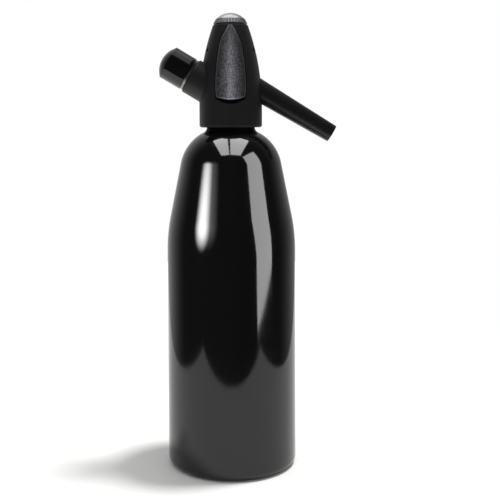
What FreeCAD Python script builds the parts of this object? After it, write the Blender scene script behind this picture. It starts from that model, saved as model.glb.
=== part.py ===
import FreeCAD, Part
import Sketcher
import math
import os
import re

# One-litre soda siphon. Millimetres, +Z up, the origin is the middle of the face it stands on.
# The spout points to +X and the finger lever faces -Y.

doc = FreeCAD.newDocument("soda_siphon")
sheet = doc.addObject("Spreadsheet::Sheet", "sizes")

SIZES = [
    # Bottle
    ("bottle_radius", 44.0),
    ("bottle_wall", 2.0),
    ("base_thickness", 2.5),
    ("base_corner", 5.0),
    ("rest_ring_width", 2.0),
    ("punt_height", 7.0),
    ("taper_height", 159.0),
    ("taper_angle", 11.2),
    ("taper_blend", 120.0),
    ("shoulder_height", 207.0),
    ("shoulder_arc", 30.0),
    ("neck_radius", 16.5),
    ("neck_fillet", 4.0),
    ("neck_length", 10.5),
    ("thread_depth", 1.0),
    ("thread_length", 8.0),
    ("thread_lead_in", 0.8),
    ("thread_clearance", 0.4),
    # Clearances
    ("running_fit", 0.05),
    ("slip_fit", 0.1),
    ("seat_gap", 0.02),
    # Head housing
    ("skirt_radius", 21.5),
    ("skirt_edge", 1.7),
    ("skirt_overlap", 10.8),
    ("ogive_rise", 15.0),
    ("ogive_arc", 163.0),
    ("head_height", 55.2),
    ("head_top_edge", 1.6),
    # Valve block, core of the head
    ("gasket_thickness", 2.0),
    ("flange_thickness", 3.0),
    ("block_radius", 12.2),
    ("block_length", 30.0),
    ("nose_radius", 6.5),
    ("nose_length", 7.0),
    ("stud_radius", 3.5),
    ("stud_length", 28.5),
    # Crown nut
    ("washer_radius", 9.0),
    ("washer_thickness", 0.8),
    ("washer_recess", 0.5),
    ("crown_radius", 11.7),
    ("crown_rim", 0.5),
    ("knurl_height", 3.3),
    ("knurl_top_radius", 10.25),
    ("knurl_count", 32),
    ("knurl_groove", 0.55),
    ("dome_height", 4.6),
    ("crown_hole_spare", 0.7),
    # Valve, measured along its own line from the bottle's centre line, front is negative
    ("valve_rise", 19.0),
    ("outlet_chamber_radius", 3.5),
    ("outlet_chamber_start", -5.0),
    ("seat_front", 1.0),
    ("seat_thickness", 1.0),
    ("orifice_radius", 2.4),
    ("pressure_chamber_radius", 4.5),
    ("gland_radius", 5.0),
    ("gland_length", 7.1),
    ("stem_radius", 1.5),
    ("stem_reach", 14.9),
    ("disc_radius", 3.6),
    ("disc_thickness", 1.2),
    ("plunger_seal_thickness", 1.0),
    ("spigot_radius", 2.4),
    ("spigot_length", 1.2),
    ("stem_seal_cord", 0.95),
    ("plug_length", 1.5),
    ("plug_front", 9.8),
    ("spring_wire", 0.45),
    ("spring_radius", 3.0),
    ("spring_turns", 3),
    ("spring_piece", 0.25),
    # Liquid and gas ways in the block
    ("riser_radius", 4.0),
    ("riser_wall", 1.2),
    ("riser_foot", 10.0),
    ("riser_slant", 40.0),
    ("riser_socket_depth", 9.5),
    ("riser_seal_thickness", 1.6),
    ("riser_seal_room", 1.5),
    ("liquid_way_radius", 2.0),
    ("liquid_way_offset", 5.0),
    ("gas_way_radius", 1.3),
    ("gas_way_offset", 8.0),
    ("gas_way_top", 13.5),
    # Spout, measured along its own line from the bottle's centre line
    ("spout_rise", 24.3),
    ("spout_drop", 31.0),
    ("spout_root_radius", 7.7),
    ("spout_tip_radius", 6.1),
    ("spout_shoulder", 19.0),
    ("spout_length", 81.0),
    ("spout_bore", 4.0),
    ("spout_tip_bevel", 0.6),
    ("spout_shank_radius", 6.0),
    ("spout_shank_start", 11.0),
    ("spout_seal_thickness", 1.5),
    ("spout_way_radius", 2.5),
    ("spout_way_start", 2.0),
    # Gas inlet, measured along its own line from the bottle's centre line
    ("inlet_rise", 6.4),
    ("inlet_angle", 31.0),
    ("boss_radius", 12.4),
    ("boss_start", 8.0),
    ("boss_end", 32.15),
    ("boss_edge", 0.8),
    ("shank_start", 11.5),
    ("shank_radius", 5.5),
    ("shank_room", 1.0),
    ("nipple_start", 20.6),
    ("nipple_radius", 9.5),
    ("nipple_end", 47.0),
    ("collar_radius", 11.3),
    ("collar_thickness", 1.4),
    ("duct_start", 12.5),
    ("duct_radius", 1.5),
    ("port_radius", 0.8),
    ("sleeve_start", 13.0),
    ("sleeve_length", 5.0),
    ("sleeve_thickness", 0.9),
    ("filter_radius", 3.0),
    ("filter_thickness", 2.0),
    ("pin_base_thickness", 2.8),
    ("needle_radius", 1.0),
    ("needle_bore", 0.4),
    ("needle_end", 37.0),
    ("needle_tip", 2.5),
    ("charger_socket_radius", 4.6),
    ("charger_socket_start", 31.0),
    ("inlet_seal_thickness", 2.0),
    ("cap_radius", 11.7),
    ("cap_gap", 0.35),
    ("cap_length", 16.1),
    ("cap_dome", 4.5),
    ("cap_edge", 0.4),
    ("cap_seal_thickness", 1.1),
    ("cap_seal_hole", 5.0),
    # Lever, heights from the skirt's upper end
    ("leaf_proud", 0.3),
    ("leaf_thickness", 1.6),
    ("leaf_gap", 0.35),
    ("leaf_foot", 5.2),
    ("leaf_foot_half", 9.4),
    ("leaf_foot_sag", 1.6),
    ("leaf_wide", 11.0),
    ("leaf_wide_half", 10.2),
    ("leaf_narrow", 42.0),
    ("leaf_narrow_half", 7.1),
    ("leaf_tip", 53.6),
    ("leaf_tip_half", 1.6),
    ("leaf_tip_arc", 1.75),
    ("leaf_upper_arc", 60.0),
    ("pocket_foot", 0.8),
    ("pocket_foot_half", 2.8),
    ("pocket_corner", 3.9),
    ("pocket_corner_half", 9.9),
    ("pocket_back", 9.0),
    ("pivot_up", 37.5),
    ("pivot_forward", 6.1),
    ("pin_radius", 1.25),
    ("pin_recess", 0.2),
    ("hub_radius", 3.2),
    ("arm_half_width", 8.5),
    ("arm_slot_half", 4.6),
    ("arm_foot", 7.5),
    ("arm_inside", 15.6),
    ("arm_top_inside", 13.7),
    ("pad_half", 2.6),
    ("pad_clearance", 0.15),
    ("ear_room", 0.6),
    ("ear_space_front", 13.5),
]

NAMES = {name for name, value in SIZES}
for row, (name, value) in enumerate(SIZES, start=1):
    sheet.set(f"A{row}", name)
    sheet.set(f"B{row}", str(value))
    sheet.setAlias(f"B{row}", name)
doc.recompute()


def bound(text):
    """The same expression with each size read from the sheet."""
    return re.sub(r"[a-z_]+", lambda word: f"sizes.{word[0]}" if word[0] in NAMES else word[0], text)


def number(text):
    """What an expression of sizes is worth now."""
    return float(sheet.evalExpression(bound(str(text))))


# Heights and other lengths that follow from the sizes

NECK_BASE = ("(shoulder_height - shoulder_arc * sin(taper_angle * 1deg) + sqrt("
             "(shoulder_arc + neck_fillet) ^ 2 - (neck_radius + neck_fillet - bottle_radius"
             " + (shoulder_height - taper_height) * tan(taper_angle * 1deg)"
             " + shoulder_arc * cos(taper_angle * 1deg)) ^ 2))")
RIM = f"({NECK_BASE} + neck_length)"
PUNT_RADIUS = "(bottle_radius - base_corner - rest_ring_width)"
FLANGE = f"({RIM} + gasket_thickness)"
BLOCK = f"({FLANGE} + flange_thickness)"
BLOCK_TOP = f"({BLOCK} + block_length)"
SKIRT_FOOT = f"({RIM} - skirt_overlap)"
SKIRT_TOP = f"({SKIRT_FOOT} + ogive_rise)"
HEAD_TOP = f"({SKIRT_TOP} + head_height)"
VALVE_HEIGHT = f"({FLANGE} + valve_rise)"
SPOUT_HEIGHT = f"({FLANGE} + spout_rise)"
INLET_HEIGHT = f"({FLANGE} + inlet_rise)"
PIVOT_HEIGHT = f"({SKIRT_TOP} + pivot_up)"
CROWN = f"({HEAD_TOP} - washer_recess + washer_thickness)"
THREAD_RADIUS = "(neck_radius + thread_depth)"
SKIRT_BORE = f"({THREAD_RADIUS} + thread_clearance)"
DISC = "(seat_front + seat_thickness + plunger_seal_thickness)"

# Lines that turned pieces lie on: turning axis, angle, and the point where the piece's zero is

UPRIGHT = ((0, 0, 1), "0", ("0", "0", "0"))
VALVE = ((1, 0, 0), "-90", ("0", "0", VALVE_HEIGHT))
SPOUT = ((0, 1, 0), "90 + spout_drop", ("0", "0", SPOUT_HEIGHT))
INLET = ((0, 1, 0), "inlet_angle - 90", ("0", "0", INLET_HEIGHT))
PIN = ((0, 1, 0), "90", ("0", "-pivot_forward", PIVOT_HEIGHT))
FRONT = ((0, 0, 1), "0", ("0", "-pocket_back", "0"))
LIQUID_WAY = ((0, 0, 1), "0", ("0", "liquid_way_offset", "0"))
GAS_WAY = ((0, 0, 1), "0", ("-gas_way_offset", "0", "0"))


def place(piece, line):
    """Lay a piece on its line."""
    axis, angle, origin = line
    turn = FreeCAD.Rotation(FreeCAD.Vector(*axis), number(angle))
    piece.Placement = FreeCAD.Placement(FreeCAD.Vector(0, 0, 0), turn)
    if angle != "0":
        piece.setExpression("Placement.Rotation.Angle", f"({bound(angle)}) * 1deg")
    for letter, length in zip("xyz", origin):
        piece.setExpression(f"Placement.Base.{letter}", bound(length))


def arc_between(start, end, radius):
    """The short arc from start to end; a positive radius turns left on the way."""
    chord = end - start
    middle = (start + end) * 0.5
    left = FreeCAD.Vector(-chord.y, chord.x, 0).normalize()
    reach = math.sqrt(radius ** 2 - (chord.Length / 2) ** 2)
    centre = middle + left * math.copysign(reach, radius)
    first, last = (start, end) if radius > 0 else (end, start)
    circle = Part.Circle(centre, FreeCAD.Vector(0, 0, 1), abs(radius))
    return Part.ArcOfCircle(circle, circle.parameter(first), circle.parameter(last))


def draw(sketch, outline):
    """Draw a closed outline of corners (across, up) or (across, up, radius of the arc to it)."""
    points = [FreeCAD.Vector(number(corner[0]), number(corner[1]), 0) for corner in outline]
    ends = []
    for index, corner in enumerate(outline):
        start, end = points[index - 1], points[index]
        if len(corner) == 2:
            sketch.addGeometry(Part.LineSegment(start, end), False)
            ends.append((1, 2))
        else:
            radius = number(corner[2])
            sketch.addGeometry(arc_between(start, end, radius), False)
            ends.append((1, 2) if radius > 0 else (2, 1))
    for index, corner in enumerate(outline):
        following = (index + 1) % len(outline)
        sketch.addConstraint(
            Sketcher.Constraint("Coincident", index, ends[index][1], following, ends[following][0]))
        for kind, length, value in (("DistanceX", corner[0], points[index].x),
                                    ("DistanceY", corner[1], points[index].y)):
            place_in_list = sketch.addConstraint(
                Sketcher.Constraint(kind, -1, 1, index, ends[index][1], value))
            sketch.setExpression(f"Constraints[{place_in_list}]", bound(length))
        if len(corner) == 3:
            place_in_list = sketch.addConstraint(
                Sketcher.Constraint("Radius", index, abs(number(corner[2]))))
            sketch.setExpression(f"Constraints[{place_in_list}]", f"abs({bound(corner[2])})")


def body_with_sketch(name, plane_role, outline):
    """A body that holds one sketch of the outline on one of its own planes."""
    body = doc.addObject("PartDesign::Body", name)
    sketch = body.newObject("Sketcher::SketchObject", name + "_outline")
    plane = next(item for item in body.Origin.OriginFeatures if item.Role == plane_role)
    sketch.AttachmentSupport = [(plane, "")]
    sketch.MapMode = "FlatFace"
    draw(sketch, outline)
    return body, sketch


def turned(name, line, outline):
    """A turned piece: outline of (radius, distance along the line)."""
    body, sketch = body_with_sketch(name, "XZ_Plane", outline)
    turn = body.newObject("PartDesign::Revolution", name + "_turn")
    turn.Profile = sketch
    turn.ReferenceAxis = (sketch, ["V_Axis"])
    turn.Angle = 360
    place(body, line)
    return body


def rod(name, line, radius, start, end):
    """A plain round bar, or the hole that one leaves."""
    return turned(name, line, [("0", start), (radius, start), (radius, end), ("0", end)])


def ring(name, line, hole, radius, start, end):
    """A plain round ring or tube."""
    return turned(name, line, [(hole, start), (radius, start), (radius, end), (hole, end)])


def plate(name, plane_role, line, outline, thickness):
    """A flat piece of one thickness."""
    body, sketch = body_with_sketch(name, plane_role, outline)
    pad = body.newObject("PartDesign::Pad", name + "_pad")
    pad.Profile = sketch
    pad.setExpression("Length", bound(thickness))
    place(body, line)
    return body


def box(name, x_range, y_range, z_range):
    """A block between two ends on each axis."""
    block = doc.addObject("Part::Box", name)
    for letter, side, ends in zip("xyz", ("Length", "Width", "Height"), (x_range, y_range, z_range)):
        block.setExpression(f"Placement.Base.{letter}", bound(ends[0]))
        block.setExpression(side, bound(f"({ends[1]}) - ({ends[0]})"))
    return block


def joined(name, pieces):
    whole = doc.addObject("Part::MultiFuse", name)
    whole.Shapes = pieces
    return whole


def shared(name, pieces):
    common = doc.addObject("Part::MultiCommon", name)
    common.Shapes = pieces
    return common


def cut(name, piece, tools):
    """The piece without its holes and hollows."""
    rest = doc.addObject("Part::Cut", name)
    rest.Base = piece
    rest.Tool = joined(name + "_hollows", tools) if len(tools) > 1 else tools[0]
    return rest


# Bottle: one drawn shell of even wall with a domed foot and a threaded neck

def bottle_side(inset):
    """The bottle's side from its foot corner to the neck, set in by a distance."""
    blend = "taper_blend * tan(taper_angle / 2 * 1deg)"
    slope = "taper_angle * 1deg"
    taper_end = f"(bottle_radius - (shoulder_height - taper_height) * tan({slope}))"
    shoulder_x = f"({taper_end} - shoulder_arc * cos({slope}))"
    shoulder_z = f"(shoulder_height - shoulder_arc * sin({slope}))"
    share = f"(shoulder_arc - {inset}) / (shoulder_arc + neck_fillet)"
    return [
        ("bottle_radius - base_corner", inset),
        (f"bottle_radius - {inset}", "base_corner", f"base_corner - {inset}"),
        (f"bottle_radius - {inset}", f"taper_height - {blend}"),
        (f"bottle_radius - {blend} * sin({slope}) - {inset} * cos({slope})",
         f"taper_height + {blend} * cos({slope}) - {inset} * sin({slope})",
         f"taper_blend - {inset}"),
        (f"{taper_end} - {inset} * cos({slope})", f"shoulder_height - {inset} * sin({slope})"),
        (f"{shoulder_x} + {share} * (neck_radius + neck_fillet - {shoulder_x})",
         f"{shoulder_z} + {share} * ({NECK_BASE} - {shoulder_z})",
         f"shoulder_arc - {inset}"),
        (f"neck_radius - {inset}", NECK_BASE, f"-(neck_fillet + {inset})"),
    ]


def make_bottle():
    dome = f"(({PUNT_RADIUS} ^ 2 + punt_height ^ 2) / (2 * punt_height))"
    inner_dome = f"({dome} + base_thickness)"
    inner_ring = f"(punt_height - {dome} + sqrt({inner_dome} ^ 2 - {PUNT_RADIUS} ^ 2))"
    thread_top = f"({RIM} - thread_lead_in)"
    thread_foot = f"({RIM} - thread_length)"
    outside = [("0", "punt_height"), (PUNT_RADIUS, "0", f"-{dome}")] + bottle_side("0")
    thread = [
        ("neck_radius", thread_foot),
        (THREAD_RADIUS, f"{thread_foot} + thread_lead_in"),
        (THREAD_RADIUS, thread_top),
        ("neck_radius", RIM),
    ]
    inside = bottle_side("bottle_wall")
    way_down = [("neck_radius - bottle_wall", RIM), inside[-1][:2]]
    for index in range(len(inside) - 1, 0, -1):
        above = inside[index]
        bend = (f"-({above[2]})",) if len(above) == 3 else ()
        way_down.append(inside[index - 1][:2] + bend)
    floor = [(PUNT_RADIUS, inner_ring), ("0", "punt_height + base_thickness", inner_dome)]
    return turned("bottle_shell", UPRIGHT, outside + thread + way_down + floor)


# Head housing: moulded shell with a skirt over the neck and an ogive above it

def ogive(height, offset="0"):
    """Radius of the head's outside at a height, moved out by an offset."""
    return (f"(skirt_radius - ogive_arc + sqrt((ogive_arc + {offset}) ^ 2"
            f" - ({height} - {SKIRT_TOP}) ^ 2))")


def leaf_outline(gap, foot):
    """Front view of the lever leaf grown by a gap, closed by the given foot from left to right."""
    wide = (f"leaf_wide_half + {gap}", f"{SKIRT_TOP} + leaf_wide")
    narrow = (f"leaf_narrow_half + {gap}", f"{SKIRT_TOP} + leaf_narrow")
    tip = (f"leaf_tip_half + {gap}", f"{SKIRT_TOP} + leaf_tip")
    drop = "(leaf_wide_half - leaf_narrow_half)"
    rise = "(leaf_narrow - leaf_wide)"
    side_arc = f"({rise} ^ 2 + {drop} ^ 2) / (2 * {drop})"
    right = [
        wide,
        narrow + (side_arc,),
        tip + ("leaf_upper_arc",),
    ]
    left = [
        (f"-({tip[0]})", tip[1], f"leaf_tip_arc + {gap}"),
        (f"-({narrow[0]})", narrow[1], "leaf_upper_arc"),
        (f"-({wide[0]})", wide[1], side_arc),
    ]
    return foot + right + left


def make_head():
    blank = turned("head_blank", UPRIGHT, [
        ("0", SKIRT_FOOT),
        ("skirt_radius - skirt_edge", SKIRT_FOOT),
        ("skirt_radius", f"{SKIRT_FOOT} + skirt_edge", "skirt_edge"),
        ("skirt_radius", SKIRT_TOP),
        (ogive(f"({HEAD_TOP} - head_top_edge)"), f"{HEAD_TOP} - head_top_edge", "ogive_arc"),
        (ogive(f"({HEAD_TOP} - head_top_edge)") + " - head_top_edge", HEAD_TOP, "head_top_edge"),
        ("0", HEAD_TOP),
    ])
    boss = turned("inlet_boss", INLET, [
        ("0", "boss_start"),
        ("boss_radius", "boss_start"),
        ("boss_radius", "boss_end - boss_edge"),
        ("boss_radius - boss_edge", "boss_end"),
        ("0", "boss_end"),
    ])
    beyond = "(spout_shoulder + skirt_radius)"
    inlet_way = turned("inlet_way", INLET, [
        ("0", "shank_start"),
        ("shank_radius + slip_fit", "shank_start"),
        ("shank_radius + slip_fit", "nipple_start"),
        ("nipple_radius + slip_fit", "nipple_start"),
        ("nipple_radius + slip_fit", "boss_end + boss_edge"),
        ("0", "boss_end + boss_edge"),
    ])
    seal_start = "(spout_shank_start - spout_seal_thickness)"
    spout_way = turned("spout_socket", SPOUT, [
        ("0", seal_start),
        ("spout_shank_radius + slip_fit", seal_start),
        ("spout_shank_radius + slip_fit", "spout_shoulder"),
        ("spout_root_radius + slip_fit", "spout_shoulder"),
        ("spout_root_radius + slip_fit", beyond),
        ("0", beyond),
    ])
    pocket = plate("lever_pocket", "XZ_Plane", FRONT, leaf_outline("leaf_gap", [
        ("-pocket_corner_half", f"{SKIRT_TOP} + pocket_corner"),
        ("-pocket_foot_half", f"{SKIRT_TOP} + pocket_foot"),
        ("pocket_foot_half", f"{SKIRT_TOP} + pocket_foot"),
        ("pocket_corner_half", f"{SKIRT_TOP} + pocket_corner"),
    ]), "skirt_radius")
    ears = "(arm_half_width + ear_room)"
    hub = "(hub_radius + ear_room)"
    ear_space = box("ear_space", (f"-{ears}", ears),
                    ("-ear_space_front", f"-pivot_forward + {hub}"),
                    (BLOCK_TOP, f"{PIVOT_HEIGHT} + {hub}"))
    hollows = [
        rod("skirt_bore", UPRIGHT, SKIRT_BORE, f"{SKIRT_FOOT} - skirt_edge", BLOCK),
        rod("core_bore", UPRIGHT, "block_radius + slip_fit", RIM, f"{BLOCK_TOP} + slip_fit"),
        rod("stud_bore", UPRIGHT, "stud_radius + slip_fit", BLOCK_TOP, f"{HEAD_TOP} + skirt_edge"),
        rod("washer_recess_bore", UPRIGHT, "washer_radius + slip_fit",
            f"{HEAD_TOP} - washer_recess", f"{HEAD_TOP} + skirt_edge"),
        rod("pin_bore", PIN, "pin_radius + seat_gap", "-skirt_radius", "skirt_radius"),
        inlet_way, spout_way, pocket, ear_space,
    ]
    return cut("head_housing", joined("head_outside", [blank, boss]), hollows)


# Valve block: turned core with a flange under the head, a nose in the neck and a stud on top

def make_block():
    blank = turned("block_blank", UPRIGHT, [
        ("0", f"{FLANGE} - nose_length"),
        ("nose_radius", f"{FLANGE} - nose_length"),
        ("nose_radius", FLANGE),
        (THREAD_RADIUS, FLANGE),
        (THREAD_RADIUS, BLOCK),
        ("block_radius", BLOCK),
        ("block_radius", BLOCK_TOP),
        ("stud_radius", BLOCK_TOP),
        ("stud_radius", f"{BLOCK_TOP} + stud_length"),
        ("0", f"{BLOCK_TOP} + stud_length"),
    ])
    outside = "(block_radius + gland_radius)"
    valve_bore = turned("valve_bore", VALVE, [
        ("0", f"-{outside}"),
        ("gland_radius + seat_gap", f"-{outside}"),
        ("gland_radius + seat_gap", "outlet_chamber_start"),
        ("outlet_chamber_radius", "outlet_chamber_start"),
        ("outlet_chamber_radius", "seat_front"),
        ("orifice_radius", "seat_front"),
        ("orifice_radius", "seat_front + seat_thickness"),
        ("pressure_chamber_radius", "seat_front + seat_thickness"),
        ("pressure_chamber_radius", outside),
        ("0", outside),
    ])
    spout_way = turned("spout_way", SPOUT, [
        ("0", "spout_way_start"),
        ("spout_way_radius", "spout_way_start"),
        ("spout_way_radius", "spout_shank_start - spout_seal_thickness"),
        ("spout_shank_radius + slip_fit", "spout_shank_start - spout_seal_thickness"),
        ("spout_shank_radius + slip_fit", "spout_shoulder"),
        ("0", "spout_shoulder"),
    ])
    hollows = [
        valve_bore,
        spout_way,
        rod("inlet_socket", INLET, "shank_radius + slip_fit", "shank_start - shank_room",
            "nipple_start"),
        rod("riser_socket", UPRIGHT, "riser_radius + running_fit",
            f"{FLANGE} - nose_length - riser_seal_room",
            f"{FLANGE} - nose_length + riser_socket_depth"),
        rod("liquid_way", LIQUID_WAY, "liquid_way_radius",
            f"{FLANGE} - nose_length + riser_socket_depth - riser_seal_room", VALVE_HEIGHT),
        rod("gas_way", GAS_WAY, "gas_way_radius", f"{FLANGE} - nose_length",
            f"{FLANGE} + gas_way_top"),
    ]
    return cut("valve_block", blank, hollows)


# Neck and riser

RISER_TOP = f"({FLANGE} - nose_length + riser_socket_depth - riser_seal_room - riser_seal_thickness)"


def make_gasket():
    return ring("neck_gasket", UPRIGHT, "neck_radius - bottle_wall", THREAD_RADIUS,
                f"{RIM} + seat_gap", f"{FLANGE} - seat_gap")


def make_riser():
    tube = ring("riser_blank", UPRIGHT, "riser_radius - riser_wall", "riser_radius", "riser_foot",
                RISER_TOP)
    reach = "(riser_foot + riser_radius)"
    wedge = plate("riser_slant_cut", "XZ_Plane", ((0, 0, 1), "0", ("0", reach, "0")), [
        (f"-{reach}", f"riser_foot - {reach}"),
        ("riser_radius", f"riser_foot - {reach}"),
        ("riser_radius", "riser_foot + 2 * riser_radius * tan(riser_slant * 1deg)"),
        ("-riser_radius", "riser_foot"),
        (f"-{reach}", "riser_foot"),
    ], f"2 * {reach}")
    return cut("riser_tube", tube, [wedge])


def make_riser_seal():
    return ring("riser_seal", UPRIGHT, "riser_radius - riser_wall", "riser_radius", RISER_TOP,
                f"{RISER_TOP} + riser_seal_thickness")


# Valve: stem with a disc and its seal, guided in front by a gland and closed by a spring

def make_plunger():
    tip = "(stem_radius / 2)"
    return turned("valve_plunger", VALVE, [
        ("0", "-stem_reach"),
        ("stem_radius - " + tip, "-stem_reach"),
        ("stem_radius", f"-stem_reach + {tip}", tip),
        ("stem_radius", DISC),
        ("disc_radius", DISC),
        ("disc_radius", f"{DISC} + disc_thickness"),
        ("spigot_radius", f"{DISC} + disc_thickness"),
        ("spigot_radius", f"{DISC} + disc_thickness + spigot_length"),
        ("0", f"{DISC} + disc_thickness + spigot_length"),
    ])


def make_plunger_seal():
    return ring("plunger_seal", VALVE, "stem_radius", "disc_radius",
                "seat_front + seat_thickness + seat_gap", DISC)


def make_stem_seal():
    seal = doc.addObject("Part::Torus", "stem_seal_cord_ring")
    seal.setExpression("Radius1", bound("stem_radius + running_fit + stem_seal_cord"))
    seal.setExpression("Radius2", bound("stem_seal_cord"))
    place(seal, ((1, 0, 0), "-90", ("0", "outlet_chamber_start + stem_seal_cord", VALVE_HEIGHT)))
    return seal


def make_gland():
    return ring("valve_gland", VALVE, "stem_radius + running_fit", "gland_radius",
                "outlet_chamber_start - gland_length", "outlet_chamber_start")


def make_plug():
    return turned("valve_plug", VALVE, [
        ("0", "plug_front"),
        ("pressure_chamber_radius", "plug_front"),
        ("pressure_chamber_radius", "plug_front + plug_length"),
        ("0", "plug_front + plug_length"),
    ])


def make_spring():
    start = f"({DISC} + disc_thickness + spring_wire + seat_gap)"
    height = f"(plug_front - spring_wire - seat_gap - {start})"
    coil = doc.addObject("Part::Helix", "spring_line")
    coil.setExpression("Radius", bound("spring_radius"))
    coil.setExpression("Height", bound(height))
    coil.setExpression("Pitch", bound(f"{height} / spring_turns"))
    coil.setExpression("SegmentLength", bound("spring_piece"))
    coil.setExpression("Placement.Base.z", bound(start))
    wire = doc.addObject("Part::Circle", "spring_wire_section")
    wire.setExpression("Radius", bound("spring_wire"))
    wire.Placement = FreeCAD.Placement(
        FreeCAD.Vector(0, 0, 0), FreeCAD.Rotation(FreeCAD.Vector(1, 0, 0), 90))
    wire.setExpression("Placement.Base.x", bound("spring_radius"))
    wire.setExpression("Placement.Base.z", bound(start))
    spring = doc.addObject("Part::Sweep", "spring_coil")
    spring.Sections = [wire]
    doc.recompute()
    spring.Spine = (coil, [f"Edge{index + 1}" for index in range(len(coil.Shape.Edges))])
    spring.Solid = True
    spring.Frenet = True
    place(spring, VALVE)
    gap = number(f"{height} / spring_turns - 2 * spring_wire")
    print(f"least gap between the spring's turns {gap:.2f} mm")
    return spring


# Crown nut: screws on the block's stud over a washer and holds the head together

def make_crown():
    dome_foot = f"({CROWN} + knurl_height)"
    dome_arc = "((knurl_top_radius ^ 2 + dome_height ^ 2) / (2 * dome_height))"
    hole = "(stud_radius + running_fit)"
    body = turned("crown_nut", UPRIGHT, [
        (hole, CROWN),
        ("crown_radius", CROWN),
        ("crown_radius", f"{CROWN} + crown_rim"),
        ("knurl_top_radius", dome_foot),
        ("0", f"{dome_foot} + dome_height", dome_arc),
        ("0", f"{BLOCK_TOP} + stud_length + crown_hole_spare"),
        (hole, f"{BLOCK_TOP} + stud_length + crown_hole_spare"),
    ])
    doc.recompute()
    before = body.Shape.Volume
    sketch = body.newObject("Sketcher::SketchObject", "crown_groove_outline")
    plane = next(item for item in body.Origin.OriginFeatures if item.Role == "XY_Plane")
    sketch.AttachmentSupport = [(plane, "")]
    sketch.MapMode = "FlatFace"
    middle = FreeCAD.Vector(number("crown_radius"), 0, 0)
    groove = Part.Circle(middle, FreeCAD.Vector(0, 0, 1), number("knurl_groove"))
    sketch.addGeometry(groove, False)
    for kind, value, length in (("DistanceX", middle.x, "crown_radius"), ("DistanceY", 0.0, "0")):
        entry = sketch.addConstraint(Sketcher.Constraint(kind, -1, 1, 0, 3, value))
        sketch.setExpression(f"Constraints[{entry}]", bound(length))
    entry = sketch.addConstraint(Sketcher.Constraint("Radius", 0, number("knurl_groove")))
    sketch.setExpression(f"Constraints[{entry}]", bound("knurl_groove"))
    pocket = body.newObject("PartDesign::Pocket", "crown_groove")
    pocket.Profile = sketch
    pocket.Reversed = True
    pocket.setExpression("Length", bound(dome_foot))
    pattern = body.newObject("PartDesign::PolarPattern", "crown_knurl")
    pattern.Originals = [pocket]
    pattern.Axis = (sketch, ["N_Axis"])
    pattern.Angle = 360
    pattern.setExpression("Occurrences", bound("knurl_count"))
    body.Tip = pattern
    doc.recompute()
    if body.Shape.Volume >= before:
        raise ValueError("the crown has no grooves")
    return body


def make_crown_washer():
    return ring("crown_washer", UPRIGHT, "stud_radius + running_fit", "washer_radius",
                f"{HEAD_TOP} - washer_recess", f"{CROWN} - seat_gap")


# Spout: tapered tube with a shank that screws into the block

def make_spout():
    return turned("spout", SPOUT, [
        ("spout_bore", "spout_shank_start"),
        ("spout_shank_radius", "spout_shank_start"),
        ("spout_shank_radius", "spout_shoulder"),
        ("spout_root_radius", "spout_shoulder"),
        ("spout_tip_radius", "spout_length"),
        ("spout_bore + spout_tip_bevel", "spout_length"),
        ("spout_bore", "spout_length - spout_tip_bevel"),
    ])


def make_spout_seal():
    return ring("spout_seal", SPOUT, "spout_bore", "spout_shank_radius",
                "spout_shank_start - spout_seal_thickness", "spout_shank_start")


# Gas inlet: nipple for the charger holder, with needle, filter, seal and sleeve, under a screw cap

def make_inlet_fitting():
    pin_end = "(nipple_start + filter_thickness + pin_base_thickness)"
    blank = turned("inlet_blank", INLET, [
        ("0", "shank_start"),
        ("shank_radius", "shank_start"),
        ("shank_radius", "sleeve_start"),
        ("shank_radius - sleeve_thickness", "sleeve_start"),
        ("shank_radius - sleeve_thickness", "sleeve_start + sleeve_length"),
        ("shank_radius", "sleeve_start + sleeve_length"),
        ("shank_radius", "nipple_start"),
        ("nipple_radius", "nipple_start"),
        ("nipple_radius", "boss_end"),
        ("collar_radius", "boss_end"),
        ("collar_radius", "boss_end + collar_thickness"),
        ("nipple_radius", "boss_end + collar_thickness"),
        ("nipple_radius", "nipple_end"),
        ("charger_socket_radius", "nipple_end"),
        ("charger_socket_radius", "charger_socket_start"),
        ("filter_radius", "charger_socket_start"),
        ("filter_radius", f"{pin_end} - pin_base_thickness - filter_thickness"),
        ("duct_radius", f"{pin_end} - pin_base_thickness - filter_thickness"),
        ("duct_radius", "duct_start"),
        ("0", "duct_start"),
    ])
    port = doc.addObject("Part::Cylinder", "gas_port")
    port.setExpression("Radius", bound("port_radius"))
    port.setExpression("Height", bound("2 * shank_radius"))
    along = "(sleeve_start + sleeve_length / 2)"
    place(port, ((1, 0, 0), "-90", (f"-{along} * cos(inlet_angle * 1deg)", "-shank_radius",
                                    f"{INLET_HEIGHT} + {along} * sin(inlet_angle * 1deg)")))
    return cut("inlet_fitting", blank, [port])


def make_check_sleeve():
    return ring("check_sleeve", INLET, "shank_radius - sleeve_thickness", "shank_radius",
                "sleeve_start", "sleeve_start + sleeve_length")


def make_filter():
    return rod("inlet_filter", INLET, "filter_radius", "nipple_start",
               "nipple_start + filter_thickness")


def make_piercing_pin():
    base = "(nipple_start + filter_thickness)"
    return turned("piercing_pin", INLET, [
        ("needle_bore", base),
        ("filter_radius", base),
        ("filter_radius", f"{base} + pin_base_thickness"),
        ("needle_radius", f"{base} + pin_base_thickness"),
        ("needle_radius", "needle_end - needle_tip"),
        ("needle_bore + seat_gap", "needle_end"),
        ("needle_bore", "needle_end"),
    ])


def make_inlet_seal():
    return ring("inlet_seal", INLET, "needle_radius", "charger_socket_radius",
                "charger_socket_start", "charger_socket_start + inlet_seal_thickness")


CAP_FOOT = "(boss_end + collar_thickness + cap_gap)"
CAP_ROOF = "(nipple_end + cap_seal_thickness + 2 * seat_gap)"


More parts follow.
